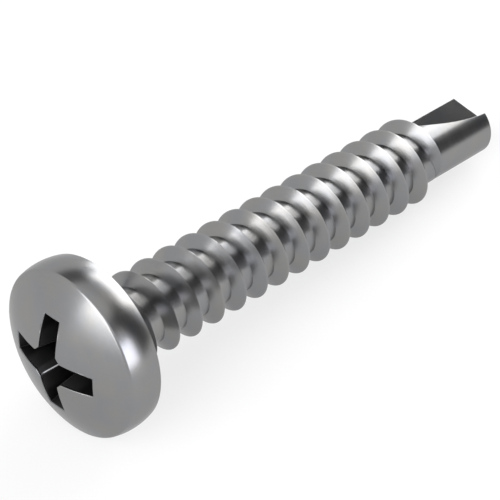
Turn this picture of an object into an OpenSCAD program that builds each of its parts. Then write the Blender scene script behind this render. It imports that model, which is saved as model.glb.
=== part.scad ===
// Self drilling screw: pan head with a cross recess, coarse tapping thread and drill point.
// Millimetres. The screw lies at rest on its head rim and its last full thread crest,
// with its length along X. Each shape is drawn about +Z, from the bearing face to the point,
// and lying() then lays the finished screw down.

/* [Thread] */
// Diameter over the thread crests
thread_diameter = 4.8; // [3.5:0.1:6.3]
// Distance from one crest to the next
thread_pitch = 1.58; // [1.1:0.01:2]
// Diameter between the crests
root_diameter = 3.46; // [2.6:0.02:4.8]
// Slope of each flank from a plane across the screw
flank_angle = 30; // [20:1:40]
// Width of the flat along the crest
crest_land = 0.06; // [0.02:0.01:0.2]
// From the bearing face to where the thread has run out
threaded_length = 24.1; // [15:0.05:40]
// Turn of the screw in which the last crest runs out
runout_angle = 90; // [45:5:180]
// Turn of the screw in which the first crest rises out of the head
runin_angle = 60; // [30:5:120]
// Angle about the axis at which the thread starts
thread_start_angle = 195; // [0:1:359]

/* [Head] */
// Diameter at the widest ring
head_diameter = 9.58; // [7:0.02:13]
// From the bearing face to the top of the dome's own arc
head_height = 3.32; // [2.4:0.02:4.6]
// Rise of the middle of the dome above that arc
crown_height = 0.1; // [0.02:0.01:0.3]
// Width of the ring inside which the dome rises
crown_width = 5.5; // [4:0.05:7]
// From the bearing face to the edge between side and dome
side_height = 1.92; // [1.4:0.02:2.8]
// From the bearing face to the widest ring
widest_height = 0.94; // [0.6:0.02:1.3]
// Radius of the bulge of the side
side_bulge_radius = 3.36; // [2:0.02:6]
// Length of the cone between the bearing face and the core
neck_length = 0.4; // [0.2:0.05:1]
// Room between the thread crests and the flat of the bearing face
neck_room = 0.06; // [0.02:0.01:0.3]

/* [Cross recess] */
// Distance between the tips of opposite wings, at the dome
recess_width = 5.58; // [4:0.02:7]
// Width of a wing at its tip, at the dome
wing_width = 1.1; // [0.8:0.02:1.6]
// Turn in plan by which each wing side spreads toward the middle
wing_spread_angle = 1; // [0:0.1:3]
// From the top of the dome to the floor of the wings
recess_depth = 2.5; // [1.6:0.05:2.8]
// Lean of the wing ends from the axis
wing_end_angle = 26.5; // [20:0.5:32]
// Distance between opposite corners of the middle, at the dome
middle_width = 3.12; // [2.2:0.02:3.6]
// Lean of the flats between the wings from the axis
middle_angle = 7; // [3:0.5:12]

/* [Drill point] */
// Diameter of the drill point
drill_diameter = 3.4; // [2.4:0.02:4.6]
// From the end of the thread to the tip
drill_length = 5.56; // [4:0.01:9]
// Full angle of the tip
tip_angle = 120; // [100:2:140]
// From where a flute starts to the tip
flute_length = 5.95; // [4:0.05:9]
// Thickness of the web between the flutes at the tip
web_thickness = 0.1; // [0.06:0.02:0.4]
// Angle about the axis of the cutting face
cutting_face_angle = 135; // [0:5:355]

/* [Lying] */
// Turn about its own axis at which the screw lies
lying_roll = -5.66; // [-45:0.01:45]

/* [Hidden] */
$fn = 96;

steel = [0.62, 0.63, 0.65];
overlap = 0.3;

// Flat steps in one turn of the thread
steps = 60;
step_angle = 360 / steps;
rise = thread_pitch / steps;

crest_r = thread_diameter / 2;
root_r = root_diameter / 2;
drill_r = drill_diameter / 2;
head_r = head_diameter / 2;
thread_height = crest_r - root_r;
land_half = crest_land / 2;

// Height of the crest where the thread starts, a little inside the head, and where it stops
end_height = 0.03;
thread_sink = 0.1;
last_step = round((threaded_length + thread_sink) / rise);
runout_steps = round(runout_angle / step_angle);
runin_steps = round(runin_angle / step_angle);
fade_start = last_step - runout_steps;

// The side is an arc about a ring inside the head, the dome an arc about the axis
side_ring_r = head_r - side_bulge_radius;
edge_r = side_ring_r + sqrt(pow(side_bulge_radius, 2) - pow(side_height - widest_height, 2));
dome_height = head_height - side_height;
dome_radius = (pow(edge_r, 2) + pow(dome_height, 2)) / (2 * dome_height);

// Inside a ring the dome follows a second, tighter arc
head_top = head_height + crown_height;
crown_ring_r = crown_width / 2;
crown_rise = crown_height + dome_drop(crown_ring_r);
crown_radius = (pow(crown_ring_r, 2) + pow(crown_rise, 2)) / (2 * crown_rise);

// The neck cone runs on to a ring inside the core
neck_r = crest_r + neck_room;
neck_inner_r = root_r - overlap;
neck_end = neck_length * (neck_r - neck_inner_r) / (neck_r - root_r);

// The recess is drawn from the top of the head, a little above where its wing tips break out
mouth_drop = crown_height + dome_drop(recess_width / 2);
wing_end_top = recess_width / 2 + mouth_drop * tan(wing_end_angle);
wing_end_floor = wing_end_top - recess_depth * tan(wing_end_angle);
wing_tip_half = wing_width * wing_end_top / recess_width;
wing_axis_half = wing_tip_half + wing_end_top * tan(wing_spread_angle);
middle_top = middle_width / 2;
middle_floor = middle_top - sqrt(2) * recess_depth * tan(middle_angle);
recess_tip = middle_floor / 2;

thread_end = crest_line(last_step) + half_base(last_step);
tip_at = threaded_length + drill_length;
// The very tip is a tiny flat inside the web
tip_flat_share = 0.8;
web_half = web_thickness / 2;
tip_flat_r = tip_flat_share * web_half;
tip_height = (drill_r - tip_flat_r) / tan(tip_angle / 2);
// A flute is milled by a wheel whose centre is level with the tip
wheel_bite = drill_r - web_half;
wheel_r = (pow(flute_length, 2) + pow(wheel_bite, 2)) / (2 * wheel_bite);
// Where the wheel leaves the core at the end of the thread, with a hair of room
flute_room = 0.02;
wheel_drop = sqrt(pow(wheel_r, 2) - pow(tip_at - thread_end, 2));
core_flat = wheel_r + web_half - wheel_drop + flute_room;
// The wheel's path is drawn until it is well clear of the drill
wheel_step = 2;
wheel_span = acos((wheel_r - drill_diameter) / wheel_r);

// Lying: the head's side and the last full crest on the underside share one floor
start_to_floor = (thread_start_angle + lying_roll) / 360;
crests_to_floor = floor(fade_start / steps + start_to_floor) - start_to_floor;
floor_crest = crests_to_floor * thread_pitch - thread_sink;
contact_run = floor_crest + widest_height;
contact_rise = side_ring_r - crest_r;
contact_span = sqrt(pow(contact_run, 2) + pow(contact_rise, 2));
lying_tilt = atan2(contact_rise, contact_run) + asin(side_bulge_radius / contact_span);
axis_height = side_bulge_radius + side_ring_r * cos(lying_tilt) - widest_height * sin(lying_tilt);
back_end = (dome_radius - head_height) * cos(lying_tilt) - dome_radius;
middle_at = (back_end + tip_at * cos(lying_tilt)) / 2;

// How far the dome's own arc falls between the axis and radius r
function dome_drop(r) = dome_radius - sqrt(pow(dome_radius, 2) - pow(r, 2));

// Thread at step k of its helix: position of the crest, its radius, half the width of its foot
function crest_line(k) = k * rise - thread_sink;
function runout(k) = max(k - fade_start, 0) / runout_steps;
function runin(k) = max(runin_steps - k, 0) / runin_steps;
function fade(k) = pow(sin(90 * max(runin(k), runout(k))), 2);
function crest_at(k) = crest_r - (thread_height - end_height) * fade(k);
function half_base(k) = land_half + (crest_at(k) - root_r) * tan(flank_angle);
function around(k, r, z) = [r * cos(k * step_angle), r * sin(k * step_angle), z];

// Four points across the thread at step k: foot, crest, crest, foot
function section(k) = [
    around(k, root_r, crest_line(k) - half_base(k)),
    around(k, crest_at(k), crest_line(k) - land_half),
    around(k, crest_at(k), crest_line(k) + land_half),
    around(k, root_r, crest_line(k) + half_base(k))
];

// Radius of the core's end at step k, where the flutes run into it
function past_face(k) = (thread_start_angle + k * step_angle - cutting_face_angle + 360) % 180;
function end_radius(k) = past_face(k) < 90 ? min(root_r, core_flat / cos(past_face(k))) : root_r;

// Core and thread as one closed solid, with a flat ring of points at each end
module threaded_shank() {
    low = crest_line(0) - half_base(0);
    n = last_step + 1;
    points = concat(
        [for (k = [0 : last_step]) each section(k)],
        [for (k = [1 : steps - 1]) around(k, root_r, low)],
        [for (k = [last_step - steps + 1 : last_step - 1]) around(k, end_radius(k), thread_end)],
        [[0, 0, thread_end]]
    );
    foot_ring = 4 * n - 1;
    end_ring = foot_ring + steps - 1;
    centre = end_ring + steps;
    last = 4 * last_step;
    before = last - 4 * steps;
    faces = concat(
        // flanks and crest
        [for (k = [0 : last_step - 1], j = [0 : 2], t = [0, 1])
            let (a = 4 * k + j)
            t == 0 ? [a, a + 1, a + 5] : [a, a + 5, a + 4]],
        // core between one turn and the next
        [for (k = [0 : last_step - steps - 1])
            let (a = 4 * k + 3, b = 4 * (k + steps))
            [a, b, b + 4, a + 4]],
        // core below the first turn
        [[0, 4, foot_ring + 1]],
        [for (k = [1 : steps - 2]) [foot_ring + k, 4 * k, 4 * k + 4, foot_ring + k + 1]],
        [[foot_ring + steps - 1, 4 * steps - 4, 4 * steps, 3, 0]],
        [[0, 3, 2, 1]],
        // core above the last turn
        [[end_ring + 1, before + 7, before + 3, last, last + 3]],
        [for (k = [1 : steps - 2])
            [before + 4 * k + 3, end_ring + k, end_ring + k + 1, before + 4 * k + 7]],
        [[last - 1, end_ring + steps - 1, last + 3]],
        [[last, last + 1, last + 2, last + 3]],
        // flat ends
        [concat([0], [for (k = [1 : steps - 1]) foot_ring + k])],
        [for (k = [1 : steps - 2]) [end_ring + k + 1, end_ring + k, centre]],
        [[end_ring + 1, last + 3, centre], [last + 3, end_ring + steps - 1, centre]]
    );
    rotate([0, 0, thread_start_angle])
        polyhedron(points, faces, convexity = 4);
}

// Outline of the head and its neck cone on one side of the axis
module head_outline() {
    intersection() {
        union() {
            translate([side_ring_r, -widest_height])
                circle(r = side_bulge_radius);
            translate([0, -head_top])
                square([side_ring_r, head_top]);
        }
        union() {
            translate([0, dome_radius - head_height])
                circle(r = dome_radius);
            translate([0, crown_radius - head_top])
                circle(r = crown_radius);
        }
        translate([0, -head_top])
            square([head_r, head_top]);
    }
    polygon([
        [0, -overlap],
        [neck_r, -overlap],
        [neck_r, 0],
        [neck_inner_r, neck_end],
        [0, neck_end]
    ]);
}

module head() {
    difference() {
        rotate_extrude()
            head_outline();
        cross_recess();
    }
}

// Plan of one pair of wings, a little wider at the axis than at the tips
module wing_plan() {
    polygon([
        [wing_end_top, -wing_tip_half],
        [wing_end_top, wing_tip_half],
        [0, wing_axis_half],
        [-wing_end_top, wing_tip_half],
        [-wing_end_top, -wing_tip_half],
        [0, -wing_axis_half]
    ]);
}

// Two tapered pairs of wings across each other, a tapered middle and a pointed bottom
module cross_recess() {
    taper = wing_end_floor / wing_end_top;
    translate([0, 0, -head_top]) {
        for (turn = [0, 90]) {
            rotate([0, 0, turn])
                linear_extrude(height = recess_depth, scale = taper, slices = 1, $fn = 4)
                    wing_plan();
        }
        cylinder(h = recess_depth, r1 = middle_top, r2 = middle_floor, $fn = 4);
        translate([0, 0, recess_depth])
            cylinder(h = recess_tip, r1 = middle_floor, r2 = 0, $fn = 4);
    }
}

module drill_body() {
    buried = thread_end - overlap;
    rotate_extrude()
        polygon([
            [0, buried],
            [drill_r, buried],
            [drill_r, tip_at - tip_height],
            [tip_flat_r, tip_at],
            [0, tip_at]
        ]);
}

module drill_point() {
    difference() {
        drill_body();
        for (turn = [0, 180]) {
            rotate([0, 0, turn])
                flute();
        }
    }
}

// One side follows the milling wheel in short flats, the other is the flat cutting face
module flute() {
    path = [
        for (a = [0 : wheel_step : wheel_span])
            [web_half + wheel_r * (1 - cos(a)), -wheel_r * sin(a)]
    ];
    beyond_tip = [[drill_diameter, overlap], [web_half, overlap]];
    rotate([0, 0, cutting_face_angle])
        translate([0, web_half + drill_diameter, tip_at])
            rotate([90, 0, 0])
                linear_extrude(drill_diameter)
                    polygon(concat(path, beyond_tip));
}

// Lays the screw on its head rim and thread, centred above the origin
module lying() {
    translate([-middle_at, 0, axis_height])
        rotate([0, 90 + lying_tilt, 0])
            rotate([0, 0, lying_roll])
                children();
}

module self_drilling_screw() {
    color(steel)
        lying()
            union() {
                head();
                threaded_shank();
                drill_point();
            }
}

self_drilling_screw();
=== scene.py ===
"""Looks of the self drilling screw: satin zinc-plated steel on a plain pale floor.

Every length of the screw is in millimetres, along its own axis or from it. The axis runs from the
bearing face of the head (0) to the tip of the drill point. LIE lays the screw down in metres,
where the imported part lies.
"""

from math import asin, atan2, ceil, cos, hypot, pi, radians, sin, sqrt, tan

import bmesh
import bpy
from mathutils import Matrix, Vector


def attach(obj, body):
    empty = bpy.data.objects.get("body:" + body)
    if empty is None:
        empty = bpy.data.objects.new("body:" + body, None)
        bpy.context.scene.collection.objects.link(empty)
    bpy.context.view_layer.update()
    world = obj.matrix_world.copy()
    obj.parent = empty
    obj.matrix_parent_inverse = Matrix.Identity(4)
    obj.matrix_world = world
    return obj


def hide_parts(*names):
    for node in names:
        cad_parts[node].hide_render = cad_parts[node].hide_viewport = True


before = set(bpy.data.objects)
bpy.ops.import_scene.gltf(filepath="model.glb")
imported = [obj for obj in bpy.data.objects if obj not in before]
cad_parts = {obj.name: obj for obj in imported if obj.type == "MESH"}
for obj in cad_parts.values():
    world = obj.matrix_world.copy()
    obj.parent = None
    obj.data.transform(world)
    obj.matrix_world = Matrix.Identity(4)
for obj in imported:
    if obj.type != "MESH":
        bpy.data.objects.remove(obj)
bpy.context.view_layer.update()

TURN = 2 * pi
MM = 0.001
SHARP = radians(40)
MERGE = 1e-4
FINE_MERGE = 1e-5

# Thread: FOOT is half its width at the core, LAND the flat of its crest, and FLANK_HOLLOW how far
# a flank sinks in its middle. It rises over RUNIN and fades over RUNOUT, both in turns.
PITCH = 1.58
CREST_R = 2.4
ROOT_R = 1.73
FLANK = radians(32.4)
FLANK_HOLLOW = 0.008
LAND = 0.03
FOOT = LAND / 2 + (CREST_R - ROOT_R) * tan(FLANK)
THREAD_END = 24.1
THREAD_SINK = 0.1
THREAD_START = radians(195)
TURNS = (THREAD_END + THREAD_SINK) / PITCH
RUNIN = 60 / 360
RUNOUT = 90 / 360
TURN_STEPS = 96
FLANK_STEPS = 10
SHANK_ENDS = (-0.2, 24.5)

# Core: it takes on the drill point's radius over a short length, and from FLUTES_NEAR on it keeps
# inside the walls of the flutes by FLUTE_GAP
CORE_BLEND_Z = 23.6
CORE_BLEND_LENGTH = 0.6
FLUTES_NEAR = 23
FLUTE_GAP = 0.03
CORE_SKIN = 0.01
CORE_LEAST = 0.2
FADED = 0.99

# Head: a dome down to the crease, a bulged side, a flat bearing face and a neck cone
HEAD_R = 4.79
ARC_TOP = -3.32
HEAD_TOP = -3.42
CREASE_Z = -1.895
WIDEST_Z = -0.94
BULGE_R = 3.36
BULGE_AT = HEAD_R - BULGE_R
CREASE_R = BULGE_AT + sqrt(BULGE_R**2 - (WIDEST_Z - CREASE_Z) ** 2)
DOME_H = CREASE_Z - ARC_TOP
DOME_R = (CREASE_R**2 + DOME_H**2) / (2 * DOME_H)
NECK_R = CREST_R + 0.06
BEARING_RINGS = (4.5, 3.6, NECK_R)
NECK_IN = (1.43, 0.564)

# Inside this ring the dome rises a little above its own arc, toward the recess
CROWN_RING = 3.4
CROWN_H = 0.105

# Rows of faces from the mouth of the recess to a circle, closer together near the mouth, from
# there to the crease, and down the side
MOUTH_ROWS = 12
MOUTH_CROWDING = 1.25
DOME_RING = 3.35
DOME_ROWS = 12
SIDE_ROWS = 18

# Cross recess: half sizes where the walls would meet a plane at the top of the head, and at the
# floor
RECESS_DEPTH = 2.5
RECESS_R = 2.79
END_LEAN = tan(radians(26.5))
SPREAD = tan(radians(1))
MOUTH_DROP = 0.1 + DOME_R - sqrt(DOME_R**2 - RECESS_R**2)
WING_END = (RECESS_R + MOUTH_DROP * END_LEAN, RECESS_R + (MOUTH_DROP - RECESS_DEPTH) * END_LEAN)
WING_SIDE = tuple(0.55 * end / RECESS_R for end in WING_END)
MIDDLE = (1.56, 1.56 - sqrt(2) * RECESS_DEPTH * tan(radians(7)))
FLOOR_Z = HEAD_TOP + RECESS_DEPTH
WALL_ROWS = 8

# Steps along a quarter of the recess's outline: half a wing end, a wing side, the flat in the
# middle, a wing side and half a wing end. The corners between them are CORNERS steps along.
WALL_STEPS = (4, 16, 6, 16, 4)
QUARTER = sum(WALL_STEPS)
CORNERS = (4, 20, 26, 42)

# A painted highlight lies on one line beside a corner in each quarter, brightest in the first
HIGHLIGHT_STEP = 21
HIGHLIGHT_ROWS = 6
PAINTED_HIGHLIGHT = (1, 0.45, 0.45, 0.45)

# Roundings: the widest of a piece, and how much of it each edge gets
HEAD_BEVEL = 0.1
CREASE_SOFT = 1.0
MOUTH_SOFT = 0.42
RIM_SOFT = 0.24
CORNER_SOFT = (0.2, 0.5, 0.5, 0.2)
POINT_BEVEL = 0.04
POINT_SOFT = 0.5

# Drill point: a cylinder with a cone tip and two flutes that a milling wheel leaves. The lips of
# the flutes are rounded in LIP_ROWS.
DRILL_R = 1.715
DRILL_START = 23.3
TIP_Z = 29.66
CONE_Z = TIP_Z - DRILL_R / tan(radians(60))
FLUTE_LENGTH = 5.95
FLUTE_Z = TIP_Z - FLUTE_LENGTH
WEB = 0.05
TIP_R = 1.05 * WEB
WHEEL_R = (FLUTE_LENGTH**2 + (DRILL_R - WEB) ** 2) / (2 * (DRILL_R - WEB))
CUT_ANGLE = radians(135)
FLUTE_ROWS = 36
CONE_ROWS = 10
LIP_ROWS = range(4, 44)
FACE_STEPS, SIDE_STEPS, BACK_STEPS = 6, 8, 40

# Where the screw lies
LIES_AT = (-13.08115, 0, 4.68773)
TILT = radians(5.7976)
ROLL = radians(-5.66)
LIE = (
    Matrix.Scale(MM, 4)
    @ Matrix.Translation(LIES_AT)
    @ Matrix.Rotation(pi / 2 + TILT, 4, "Y")
    @ Matrix.Rotation(ROLL, 4, "Z")
)


# ---- camera -----------------------------------------------------------------------------------

# The photograph's camera looks at a place on the axis, from so many millimetres away
LOOKS_AT = 10.821
DISTANCE = 113.24
SENSOR = 36
LENS = 153.57
LENS_SHIFT = (-0.00067, 0.00043)


def photo_direction(x, y, z):
    """A direction of the photograph's frame (x along the screw) in the world."""
    y, z = y * cos(ROLL) - z * sin(ROLL), y * sin(ROLL) + z * cos(ROLL)
    return Vector((x * cos(TILT) + z * sin(TILT), y, z * cos(TILT) - x * sin(TILT)))


def place_camera():
    back = photo_direction(-1, -1, 1).normalized()
    right = photo_direction(1, -1, 0).normalized()
    turned = Matrix((right, back.cross(right), back)).transposed().to_4x4()
    aim = photo_direction(LOOKS_AT, 0, 0) + Vector(LIES_AT)
    data = bpy.data.cameras.new("camera")
    data.sensor_width = SENSOR
    data.lens = LENS
    data.clip_start = 0.01
    data.clip_end = 10
    data.shift_x, data.shift_y = LENS_SHIFT
    camera = bpy.data.objects.new("camera", data)
    camera.matrix_world = Matrix.Translation((aim + DISTANCE * back) * MM) @ turned
    bpy.context.collection.objects.link(camera)
    bpy.context.scene.camera = camera


place_camera()


# ---- mesh helpers -----------------------------------------------------------------------------


def ring_edges(bm, ring):
    return [bm.edges.get((ring[k - 1], ring[k])) for k in range(len(ring))]


def soften(bm, ring, amount):
    """Gives the edges of a ring their part of the piece's rounding."""
    soft = bm.edges.layers.float["bevel_weight_edge"]
    for edge in ring_edges(bm, ring):
        edge[soft] = amount


def first_ring(bm, places):
    """A closed ring of vertices at the given places."""
    made = bmesh.ops.create_circle(bm, cap_ends=False, radius=1, segments=len(places))
    start = min(made["verts"], key=lambda v: v.index)
    ordered, before = [start], None
    while len(ordered) < len(places):
        here = ordered[-1]
        after = [e.other_vert(here) for e in here.link_edges if e.other_vert(here) is not before]
        before = here
        ordered.append(after[0])
    for vertex, place in zip(ordered, places):
        vertex.co = place
    return ordered


def grow(bm, ring, places):
    """Extrudes a ring and puts the new one at the given places. The new edges start sharp."""
    soft = bm.edges.layers.float["bevel_weight_edge"]
    made = bmesh.ops.extrude_edge_only(bm, edges=ring_edges(bm, ring))["geom"]
    new = {part for part in made if isinstance(part, bmesh.types.BMVert)}
    for vertex in new:
        for edge in vertex.link_edges:
            edge[soft] = 0
    grown = []
    for vertex, place in zip(ring, places):
        other = next(e.other_vert(vertex) for e in vertex.link_edges if e.other_vert(vertex) in new)
        other.co = place
        grown.append(other)
    return grown


def circle_places(count, r, z):
    return [(r * cos(TURN * k / count), r * sin(TURN * k / count), z) for k in range(count)]


def finish_piece(bm, name, bevel_mm=0):
    """Turns the faces outward, lays the piece down and hands it to the frame."""
    bmesh.ops.recalc_face_normals(bm, faces=bm.faces)
    for face in bm.faces:
        face.smooth = True
    bmesh.ops.transform(bm, matrix=LIE, verts=bm.verts)
    mesh = bpy.data.meshes.new(name)
    bm.to_mesh(mesh)
    bm.free()
    mesh.set_sharp_from_angle(angle=SHARP)
    piece = bpy.data.objects.new(name, mesh)
    bpy.context.collection.objects.link(piece)
    if bevel_mm:
        bevel = piece.modifiers.new("edges", "BEVEL")
        bevel.limit_method = "WEIGHT"
        bevel.width = bevel_mm * MM
        bevel.segments = 3
        bevel.use_clamp_overlap = False
        bevel.harden_normals = True
    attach(piece, "root")
    return piece


# ---- head -------------------------------------------------------------------------------------


def dome_z(r):
    crown = CROWN_H * max(1 - (r / CROWN_RING) ** 2, 0) ** 2
    return ARC_TOP + DOME_R - sqrt(DOME_R**2 - r**2) - crown


def recess_corners(level):
    """The corners of one quarter of the recess, at the top plane (0) or at the floor (1)."""
    end, side, middle = WING_END[level], WING_SIDE[level], MIDDLE[level]
    inner = (middle - side - end * SPREAD) / (1 - SPREAD)
    return [
        (end, 0),
        (end, side),
        (inner, middle - inner),
        (middle - inner, inner),
        (side, end),
        (0, end),
    ]


def recess_outline(level):
    corners = recess_corners(level)
    quarter = []
    for (a, b), steps in zip(zip(corners, corners[1:]), WALL_STEPS):
        for k in range(steps):
            t = k / steps
            quarter.append((a[0] + (b[0] - a[0]) * t, a[1] + (b[1] - a[1]) * t))
    outline = []
    for c, s in ((1, 0), (0, 1), (-1, 0), (0, -1)):
        outline += [(x * c - y * s, x * s + y * c) for x, y in quarter]
    return outline


def on_dome(top, low):
    """Where the wall line between a top point and a floor point leaves the dome."""
    start, end = Vector((*top, HEAD_TOP)), Vector((*low, FLOOR_Z))
    place = start
    for _ in range(8):
        place = start.lerp(end, (dome_z(hypot(place.x, place.y)) - HEAD_TOP) / RECESS_DEPTH)
    return place


def recess_walls(bm, ring, mouth, low):
    """Goes down to the floor. Returns the last ring, and the vertices of the painted highlight with
    their strength.
    """
    soft = bm.edges.layers.float["bevel_weight_edge"]
    highlight_verts = []
    for row in range(1, WALL_ROWS + 1):
        places = [m.lerp(Vector((*f, FLOOR_Z)), row / WALL_ROWS) for m, f in zip(mouth, low)]
        grown = grow(bm, ring, places)
        # The painted highlight beside a corner: one vertex a row in each quarter
        for turn, highlight_strength in enumerate(PAINTED_HIGHLIGHT):
            at = turn * QUARTER
            for k, amount in zip(CORNERS, CORNER_SOFT):
                bm.edges.get((ring[at + k], grown[at + k]))[soft] = amount
            if row <= HIGHLIGHT_ROWS:
                highlight_verts.append((grown[at + HIGHLIGHT_STEP], highlight_strength))
        ring = grown
    return ring, highlight_verts


def recess_floor(bm, ring, low):
    """Flat floors of the wings round a square, pointed bottom."""
    middle = MIDDLE[1]
    square = []
    for x, y in low:
        if abs(x) >= abs(y):
            square.append(((middle - abs(y)) * (1 if x > 0 else -1), y, FLOOR_Z))
        else:
            square.append((x, (middle - abs(x)) * (1 if y > 0 else -1), FLOOR_Z))
    ring = grow(bm, ring, square)
    ring = grow(bm, ring, [(x * 0.5, y * 0.5, FLOOR_Z + middle / 4) for x, y, _ in square])
    grow(bm, ring, [(0, 0, FLOOR_Z + middle / 2)] * len(ring))


def dome(bm, ring, mouth):
    """Goes from the mouth of the recess to a circle, then out to the crease."""
    count = len(ring)
    for row in range(1, MOUTH_ROWS + 1):
        t = (row / MOUTH_ROWS) ** MOUTH_CROWDING
        places = []
        for m, (x, y, _) in zip(mouth, circle_places(count, DOME_RING, 0)):
            x, y = m.x + (x - m.x) * t, m.y + (y - m.y) * t
            places.append((x, y, dome_z(hypot(x, y))))
        ring = grow(bm, ring, places)
    for row in range(1, DOME_ROWS + 1):
        r = DOME_RING + (CREASE_R - DOME_RING) * row / DOME_ROWS
        ring = grow(bm, ring, circle_places(count, r, dome_z(r)))
    return ring


def bulged_side(bm, ring):
    """Goes from the crease over the widest place to the rim of the bearing face."""
    low_angle = asin((CREASE_Z - WIDEST_Z) / BULGE_R)
    high_angle = asin(-WIDEST_Z / BULGE_R)
    for row in range(1, SIDE_ROWS + 1):
        a = low_angle + (high_angle - low_angle) * row / SIDE_ROWS
        r, z = BULGE_AT + BULGE_R * cos(a), WIDEST_Z + BULGE_R * sin(a)
        ring = grow(bm, ring, circle_places(len(ring), r, z))
    return ring


def pan_head():
    bm = bmesh.new()
    bm.edges.layers.float.new("bevel_weight_edge")
    # A vertex layer that carries the painted highlight in the recess
    painted_highlight = bm.verts.layers.float.new("painted_highlight")
    top, low = recess_outline(0), recess_outline(1)
    mouth = [on_dome(t, f) for t, f in zip(top, low)]
    rim = first_ring(bm, mouth)
    soften(bm, rim, MOUTH_SOFT)
    ring, highlight_verts = recess_walls(bm, rim, mouth, low)
    recess_floor(bm, ring, low)
    ring = dome(bm, rim, mouth)
    soften(bm, ring, CREASE_SOFT)
    ring = bulged_side(bm, ring)
    soften(bm, ring, RIM_SOFT)
    for r in BEARING_RINGS:
        ring = grow(bm, ring, circle_places(len(ring), r, 0))
    ring = grow(bm, ring, circle_places(len(ring), *NECK_IN))
    bmesh.ops.contextual_create(bm, geom=ring_edges(bm, ring))
    # Paints the highlight beside the recess corners
    for vertex, highlight_strength in highlight_verts:
        vertex[painted_highlight] = highlight_strength
    bmesh.ops.remove_doubles(bm, verts=bm.verts, dist=FINE_MERGE)
    return finish_piece(bm, "pan_head", HEAD_BEVEL)


# ---- thread -----------------------------------------------------------------------------------


def thread_section(bm):
    """One pitch of the thread in the plane of the axis, as a chain of edges."""
    half = [(ROOT_R, PITCH / 2), (ROOT_R, (FOOT + PITCH / 2) / 2), (ROOT_R, FOOT)]
    for k in range(1, FLANK_STEPS):
        t = k / FLANK_STEPS
        hollow = FLANK_HOLLOW * 4 * t * (1 - t)
        half.append((ROOT_R + (CREST_R - ROOT_R) * t, FOOT + (LAND / 2 - FOOT) * t - hollow))
    half.append((CREST_R, LAND / 2))
    points = [(r, -z) for r, z in half] + [(r, z) for r, z in reversed(half)]
    chain = [bm.verts.new((r, 0, z)) for r, z in points]
    for pair in zip(chain, chain[1:]):
        bm.edges.new(pair)


def even_thread(bm):
    """Winds the section round the axis, at full height from end to end."""
    start = Matrix.Rotation(THREAD_START, 3, "Z")
    bmesh.ops.rotate(bm, verts=bm.verts, cent=(0, 0, 0), matrix=start)
    bmesh.ops.translate(bm, verts=bm.verts, vec=(0, 0, -THREAD_SINK - PITCH))
    bmesh.ops.spin(
        bm,
        geom=bm.verts[:] + bm.edges[:],
        cent=(0, 0, 0),
        axis=(0, 0, 1),
        dvec=(0, 0, PITCH / TURN_STEPS),
        angle=TURN,
        steps=TURN_STEPS,
        use_merge=False,
        use_normal_flip=False,
        use_duplicate=False,
    )
    one_turn = bm.verts[:] + bm.edges[:] + bm.faces[:]
    for turn in range(1, ceil(TURNS) + 2):
        copied = bmesh.ops.duplicate(bm, geom=one_turn)["geom"]
        copied = [part for part in copied if isinstance(part, bmesh.types.BMVert)]
        bmesh.ops.translate(bm, verts=copied, vec=(0, 0, PITCH * turn))
    bmesh.ops.remove_doubles(bm, verts=bm.verts, dist=MERGE)


def smooth_step(t):
    return sin(pi / 2 * min(max(t, 0), 1)) ** 2


def faded_place(x, y, z):
    """Where a place of the even thread goes: down to the core at both ends of the thread, and
    with the core into the flutes near the point."""
    r, angle = hypot(x, y), atan2(y, x)
    part = (angle - THREAD_START) / TURN
    turn = part + round((z + THREAD_SINK) / PITCH - part)
    crest_z = turn * PITCH - THREAD_SINK
    off = z - crest_z
    fade = smooth_step(max((turn - (TURNS - RUNOUT)) / RUNOUT, (RUNIN - turn) / RUNIN))
    foot = LAND / 2 * (1 - fade) + (CREST_R - ROOT_R) * (1 - fade) * tan(FLANK)
    if abs(off) <= FOOT:
        off = off * foot / FOOT
    else:
        side = 1 if off > 0 else -1
        off = side * (foot + (abs(off) - FOOT) * (PITCH / 2 - foot) / (PITCH / 2 - FOOT))
    core = ROOT_R + (DRILL_R - ROOT_R) * smooth_step((z - CORE_BLEND_Z) / CORE_BLEND_LENGTH)
    new_r = core + (r - ROOT_R) * (1 - fade)
    if z > FLUTES_NEAR and (r - ROOT_R < CORE_SKIN or fade > FADED):
        u = new_r * cos(angle - CUT_ANGLE)
        v = new_r * sin(angle - CUT_ANGLE)
        if v < 0:
            u, v = -u, -v
        wall = flute_wall(crest_z + off) - FLUTE_GAP
        if v > 0 and u > wall:
            new_r = min(new_r, max(wall, CORE_LEAST) / cos(atan2(v, u)))
    return new_r * cos(angle), new_r * sin(angle), crest_z + off


def threaded_shank():
    bm = bmesh.new()
    thread_section(bm)
    even_thread(bm)
    for vertex in bm.verts:
        vertex.co = faded_place(*vertex.co)
    for z, sign in zip(SHANK_ENDS, (-1, 1)):
        cut = bmesh.ops.bisect_plane(
            bm,
            geom=bm.verts[:] + bm.edges[:] + bm.faces[:],
            dist=FINE_MERGE,
            plane_co=(0, 0, z),
            plane_no=(0, 0, sign),
            clear_outer=True,
        )
        rim = [part for part in cut["geom_cut"] if isinstance(part, bmesh.types.BMEdge)]
        bmesh.ops.contextual_create(bm, geom=rim)
    return finish_piece(bm, "threaded_shank")


# ---- drill point ------------------------------------------------------------------------------


def flute_wall(z):
    """Distance from the axis of the flute's wall, which follows the milling wheel."""
    return WEB + WHEEL_R - sqrt(WHEEL_R**2 - (TIP_Z - z) ** 2)


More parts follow.
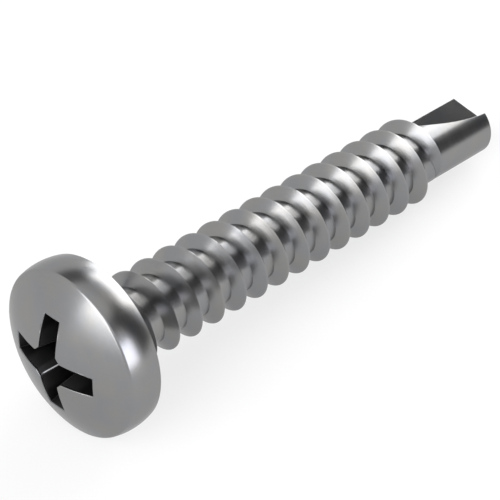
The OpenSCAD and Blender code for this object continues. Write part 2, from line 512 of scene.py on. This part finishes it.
def drill_section(r, z):
    """The drill point's outline across the axis: two flutes, half a turn apart."""
    reach = sqrt(r * r - WEB * WEB)
    wall = min(flute_wall(z), reach)
    top = sqrt(r * r - wall * wall)
    half = [(reach + (wall - reach) * k / FACE_STEPS, WEB) for k in range(FACE_STEPS)]
    half += [(wall, WEB + (top - WEB) * k / SIDE_STEPS) for k in range(SIDE_STEPS)]
    start, end = atan2(top, wall), pi + asin(WEB / r)
    for k in range(BACK_STEPS):
        a = start + (end - start) * k / BACK_STEPS
        half.append((r * cos(a), r * sin(a)))
    c, s = cos(CUT_ANGLE), sin(CUT_ANGLE)
    half = [(u * c - v * s, u * s + v * c) for u, v in half]
    return [(x, y, z) for x, y in half] + [(-x, -y, z) for x, y in half]


def drill_point():
    bm = bmesh.new()
    soft = bm.edges.layers.float.new("bevel_weight_edge")
    stations = [(DRILL_R, DRILL_START), (DRILL_R, FLUTE_Z)]
    for k in range(1, FLUTE_ROWS + 1):
        stations.append((DRILL_R, FLUTE_Z + (CONE_Z - FLUTE_Z) * k / FLUTE_ROWS))
    cone_row = len(stations) - 1
    cone_length = (TIP_Z - CONE_Z) * (1 - TIP_R / DRILL_R)
    for k in range(1, CONE_ROWS + 1):
        t = k / CONE_ROWS
        stations.append((DRILL_R + (TIP_R - DRILL_R) * t, CONE_Z + cone_length * t))
    ring = first_ring(bm, drill_section(*stations[0]))
    bmesh.ops.contextual_create(bm, geom=ring_edges(bm, ring))
    half = FACE_STEPS + SIDE_STEPS + BACK_STEPS
    lips = [0, FACE_STEPS + SIDE_STEPS, half, half + FACE_STEPS + SIDE_STEPS]
    for row, (r, z) in enumerate(stations[1:], 1):
        grown = grow(bm, ring, drill_section(r, z))
        if row in LIP_ROWS:
            for k in lips:
                bm.edges.get((ring[k], grown[k]))[soft] = POINT_SOFT
        ring = grown
        if row == cone_row:
            soften(bm, ring, POINT_SOFT)
    bmesh.ops.contextual_create(bm, geom=ring_edges(bm, ring))
    bmesh.ops.remove_doubles(bm, verts=bm.verts, dist=MERGE)
    return finish_piece(bm, "drill_point", POINT_BEVEL)


head = pan_head()
shank = threaded_shank()
point = drill_point()
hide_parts("self_drilling_screw")


# ---- materials --------------------------------------------------------------------------------


class Wire:
    """A value, colour or vector in a node tree. Arithmetic on a value adds its Math nodes."""

    def __init__(self, tree, socket=None):
        self.tree, self.socket = tree, socket

    def node(self, kind, sockets=None, out=0, **settings):
        """Adds a node: its settings first, then what its sockets hold or are linked to."""
        made = self.tree.nodes.new(kind)
        for name, value in settings.items():
            setattr(made, name, value)
        for name, value in (sockets or {}).items():
            if isinstance(value, Wire):
                self.tree.links.new(value.socket, made.inputs[name])
            else:
                made.inputs[name].default_value = value
        return Wire(self.tree, made.outputs[out] if made.outputs else None)

    def math(self, operation, *values):
        return self.node("ShaderNodeMath", dict(enumerate(values)), operation=operation)

    def vector(self, operation, *values, out=0):
        return self.node("ShaderNodeVectorMath", dict(enumerate(values)), out, operation=operation)

    def __add__(self, other):
        return self.math("ADD", self, other)

    def __radd__(self, other):
        return self.math("ADD", other, self)

    def __sub__(self, other):
        return self.math("SUBTRACT", self, other)

    def __rsub__(self, other):
        return self.math("SUBTRACT", other, self)

    def __mul__(self, other):
        return self.math("MULTIPLY", self, other)

    def __rmul__(self, other):
        return self.math("MULTIPLY", other, self)

    def between(self, low, high):
        """0 below low, 1 above high, smooth between them."""
        sockets = {"Value": self, "From Min": low, "From Max": high}
        return self.node("ShaderNodeMapRange", sockets, interpolation_type="SMOOTHSTEP")

    def blend(self, first, second):
        """Mixes two colours by this value."""
        return self.node("ShaderNodeMix", {0: self, 6: first, 7: second}, 2, data_type="RGBA")

    def mix_shader(self, first, second):
        """Mixes two shaders by this value."""
        return self.node("ShaderNodeMixShader", {0: self, 1: first, 2: second})


def new_material(name):
    made = bpy.data.materials.new(name)
    made.use_nodes = True
    made.node_tree.nodes.clear()
    return made, Wire(made.node_tree)


# The zinc's two tints, and its tint at a grazing angle
COOL_ZINC = (0.245, 0.248, 0.256, 1)
WARM_ZINC = (0.252, 0.249, 0.244, 1)
GRAZING_TINT = (0.75, 0.75, 0.75, 1)

# Tone: how far the mottle, the rolling marks and the grain swing it, and the painted light and
# shade at a place: lighter crests, a darker recess and a painted highlight beside its corners
TONE_SWINGS = (0.10, 0.06, 0.05)
CREST_PAINTED_LIGHT = 0.12
HIGHLIGHT_LIFT = 8.5
RECESS_PAINTED_SHADE = 0.6
WING_PAINTED_SHADE = 0.6
DEEP_PAINTED_SHADE = 0.7
# How metallic the painted highlight beside the recess corners is
HIGHLIGHT_METALLIC = 0.1

# Roughness: how far the mottle and the rolling marks swing it, and what a place adds or takes
SATIN = 0.25
SATIN_SWINGS = (0.06, 0.05)
CREST_POLISH = 0.03
RECESS_DULL = 0.2

# Patterns: scale and detail. The rolled one lies in rings round the screw.
MOTTLE = (700, 3)
GRAIN = (14000, 2)
ROLLED = (9, 3)
BUMP_HEIGHT = 0.000004
BUMP_STRENGTH = 0.25

# Where the looks change: each fades in from the first length to the second. Near the axis the
# dome lies at DOME_MIDDLE, and drops by DOME_DROP times the radius squared.
THREAD_BEGINS = (0.2, 0.6)
CREST_BAND = (2.3, 2.4)
DOME_MIDDLE = -3.345
DOME_DROP = 0.06
BELOW_DOME = (0.04, 0.12)
PAST_MOUTH = (2.85, 3.0)
PAST_BOTTOM = (-0.35, -0.1)
WING_TIPS = (1.7, 2.2)
DEEP = (-2.5, -1.1)
# The painted highlight fades in over this part of its vertex layer
HIGHLIGHT_EDGE = (0.3, 0.8)
MOTTLE_EDGE = (0.35, 0.65)


def zinc_plated_steel():
    """Satin zinc over steel: a mottled tint, rolling marks round the thread, a fine grain, painted
    light on the crests, painted shade in the recess and a painted highlight beside its corners."""
    made, wire = new_material("zinc_plated_steel")
    place = wire.node("ShaderNodeTexCoord", out="Object")
    axis = tuple(LIE.to_3x3() @ Vector((0, 0, 1 / MM)))
    from_start = wire.vector("SUBTRACT", place, tuple(LIE.translation))
    across = wire.vector("CROSS_PRODUCT", from_start, axis)
    along = wire.vector("DOT_PRODUCT", from_start, axis, out="Value") * (1 / MM)
    radius = wire.vector("LENGTH", across, out="Value") * (1 / MM)

    def noise(at, scale, detail):
        return wire.node("ShaderNodeTexNoise", {"Vector": at, "Scale": scale, "Detail": detail})

    mottle = noise(place, *MOTTLE)
    grain = noise(place, *GRAIN)
    rolled = noise(wire.node("ShaderNodeCombineXYZ", {0: along, 1: radius}), *ROLLED)
    on_thread = along.between(*THREAD_BEGINS)
    # The crest band: painted light in its tone, and a little less roughness
    crest = radius.between(*CREST_BAND) * on_thread
    # The recess: painted shade in its tone, and more roughness
    recess = (along - DOME_DROP * radius * radius - DOME_MIDDLE).between(*BELOW_DOME)
    recess = recess * (1 - radius.between(*PAST_MOUTH)) * (1 - along.between(*PAST_BOTTOM))
    # The painted highlight beside the recess corners, from its vertex layer
    painted_highlight = wire.node("ShaderNodeAttribute", out="Fac", attribute_name="painted_highlight").between(*HIGHLIGHT_EDGE)

    tone = 1
    for amount, pattern in zip(TONE_SWINGS, (mottle, rolled, grain)):
        tone = tone + amount * (pattern - 0.5)
    # Painted light on the crests, painted shade in the recess and the painted highlight
    tone = tone * (1 + CREST_PAINTED_LIGHT * crest) * (1 - RECESS_PAINTED_SHADE * recess) * (1 + HIGHLIGHT_LIFT * painted_highlight)
    # More painted shade toward the wing tips
    tone = tone * (1 - WING_PAINTED_SHADE * recess * radius.between(*WING_TIPS))
    # More painted shade deep in the recess
    tone = tone * (1 - DEEP_PAINTED_SHADE * recess * along.between(*DEEP))
    tint = mottle.between(*MOTTLE_EDGE).blend(COOL_ZINC, WARM_ZINC)
    roughness = SATIN
    for amount, pattern in zip(SATIN_SWINGS, (mottle, rolled)):
        roughness = roughness + amount * (pattern - 0.5)
    # The recess is rougher, except on the painted highlight
    roughness = roughness - CREST_POLISH * crest + RECESS_DULL * recess * (1 - painted_highlight)
    bump = {
        "Strength": BUMP_STRENGTH,
        "Distance": BUMP_HEIGHT,
        "Height": grain + rolled * on_thread,
    }
    shader = {
        "Base Color": wire.node(
            "ShaderNodeVectorMath", {0: tint, "Scale": tone}, operation="SCALE"
        ),
        # The painted highlight is hardly metallic
        "Metallic": 1 - (1 - HIGHLIGHT_METALLIC) * painted_highlight,
        "Roughness": roughness,
        "Specular Tint": GRAZING_TINT,
        "Normal": wire.node("ShaderNodeBump", bump),
    }
    surface = wire.node("ShaderNodeBsdfPrincipled", shader)
    wire.node("ShaderNodeOutputMaterial", {"Surface": surface})
    return made


steel = zinc_plated_steel()
for piece in (head, shank, point):
    piece.data.materials.append(steel)


# ---- studio -----------------------------------------------------------------------------------

# Lamps and cards hang on a sphere round the middle of the screw, in metres
MIDDLE_POINT = Vector((-0.004, 0, 0.005))
STUDIO_R = 1.0

WHITE = (1, 1, 1)
COOL = (0.9, 0.91, 1)
CARD_BLACK = (0.02, 0.02, 0.02, 1)
PAPER_WHITE = (0.9, 0.9, 0.9, 1)

# Name, azimuth, elevation, width and height in degrees, brightness, tint
LAMPS = (
    ("softbox_far", 11, 34, 44, 22, 4, WHITE),
    ("softbox_far_low", 14, 12, 56, 22, 4, WHITE),
    ("softbox_right", -83, 16, 32, 29, 4, COOL),
    ("softbox_head", 183, 36, 42, 42, 3.7, WHITE),
    ("softbox_head_low", 183, 11, 48, 12, 1.3, WHITE),
    ("softbox_head_lowest", 178, 0, 40, 8, 0.4, WHITE),
)

# Name, azimuth, elevation, width and height in degrees, part of a side that fades, cover
CARDS = (
    ("card_right", -43, 28, 42, 74, 0.2, 0.95),
    ("card_right_top", -70, 52, 40, 26, 0.35, 0.8),
    ("card_far", 64, 43, 36, 32, 0.2, 0.9),
    ("card_top", 10, 62, 60, 24, 0.3, 0.3),
)

# The paper catches the shadow near the screw, and turns plain white between NEAR and FAR
FLOOR_R = 3
NEAR_GLOW = 0.7
NEAR, FAR = 0.03, 0.12

# How bright the walls light the screw. Where they are seen, they are plain white.
WALL_LIGHT = 0.6


def studio_place(azimuth, elevation):
    """A place on the studio's sphere whose own Z looks away from the screw."""
    a, e = radians(azimuth), radians(elevation)
    away = Vector((cos(e) * cos(a), cos(e) * sin(a), sin(e)))
    level = Vector((-sin(a), cos(a), 0))
    turn = Matrix((level, away.cross(level), away)).transposed().to_4x4()
    return Matrix.Translation(MIDDLE_POINT + away * STUDIO_R) @ turn


def half_width(degrees):
    """Half the width of something on the sphere that covers so many degrees."""
    return STUDIO_R * tan(radians(degrees / 2))


def softbox(name, azimuth, elevation, wide, high, level, tint):
    """A soft lamp that covers so many degrees of the sky, level times as bright as white walls."""
    data = bpy.data.lights.new(name, "AREA")
    data.shape = "RECTANGLE"
    data.size, data.size_y = 2 * half_width(wide), 2 * half_width(high)
    data.energy = level * pi * data.size * data.size_y
    data.color = tint
    lamp = bpy.data.objects.new(name, data)
    lamp.matrix_world = studio_place(azimuth, elevation)
    lamp.visible_camera = False
    bpy.context.collection.objects.link(lamp)


def dark_card(name, azimuth, elevation, wide, high, fade, cover):
    """A dark card for the metal to reflect. Its edges fade, and it takes away part of the light."""
    bm = bmesh.new()
    bm.loops.layers.uv.new("card")
    bmesh.ops.create_grid(bm, x_segments=1, y_segments=1, size=1, calc_uvs=True)
    bmesh.ops.scale(bm, vec=(half_width(wide), half_width(high), 1), verts=bm.verts)
    bmesh.ops.transform(bm, matrix=studio_place(azimuth, elevation), verts=bm.verts)
    mesh = bpy.data.meshes.new(name)
    bm.to_mesh(mesh)
    bm.free()
    card = bpy.data.objects.new(name, mesh)
    card.visible_camera = card.visible_diffuse = card.visible_shadow = False
    bpy.context.collection.objects.link(card)
    paint, wire = new_material(name)
    uv = wire.node("ShaderNodeUVMap", uv_map="card")
    for side in (0, 1):
        across = wire.node("ShaderNodeSeparateXYZ", {"Vector": uv}, side)
        cover = across.between(0, fade) * (1 - across).between(0, fade) * cover
    dark = wire.node("ShaderNodeBsdfDiffuse", {"Color": CARD_BLACK})
    clear = wire.node("ShaderNodeBsdfTransparent")
    wire.node("ShaderNodeOutputMaterial", {"Surface": cover.mix_shader(clear, dark)})
    mesh.materials.append(paint)


def seen_directly(wire):
    """1 for rays from the camera, and for what metal or glass shows of the background."""
    rays = ("Is Camera Ray", "Is Glossy Ray", "Is Transmission Ray")
    camera, glossy, through = (wire.node("ShaderNodeLightPath", out=name) for name in rays)
    return wire.math("MAXIMUM", camera, wire.math("MAXIMUM", glossy, through))


def floor_disc():
    bm = bmesh.new()
    bmesh.ops.create_circle(bm, cap_ends=True, segments=96, radius=FLOOR_R)
    mesh = bpy.data.meshes.new("floor")
    bm.to_mesh(mesh)
    bm.free()
    floor = bpy.data.objects.new("floor", mesh)
    bpy.context.collection.objects.link(floor)
    paper, wire = new_material("white_paper")
    place = wire.node("ShaderNodeTexCoord", out="Object")
    away = wire.vector("LENGTH", place, out="Value")
    near = wire.node("ShaderNodeBsdfDiffuse", {"Color": PAPER_WHITE})
    far = wire.node("ShaderNodeEmission", {"Strength": seen_directly(wire)})
    white = NEAR_GLOW + (1 - NEAR_GLOW) * away.between(NEAR, FAR)
    wire.node("ShaderNodeOutputMaterial", {"Surface": white.mix_shader(near, far)})
    mesh.materials.append(paper)


def white_walls():
    world = bpy.data.worlds.new("world")
    bpy.context.scene.world = world
    world.use_nodes = True
    world.node_tree.nodes.clear()
    wire = Wire(world.node_tree)
    level = WALL_LIGHT + (1 - WALL_LIGHT) * seen_directly(wire)
    sky = wire.node("ShaderNodeBackground", {"Color": (1, 1, 1, 1), "Strength": level})
    wire.node("ShaderNodeOutputWorld", {"Surface": sky})


for lamp in LAMPS:
    softbox(*lamp)
for card in CARDS:
    dark_card(*card)
floor_disc()
white_walls()

bpy.context.scene.view_settings.view_transform = "Standard"
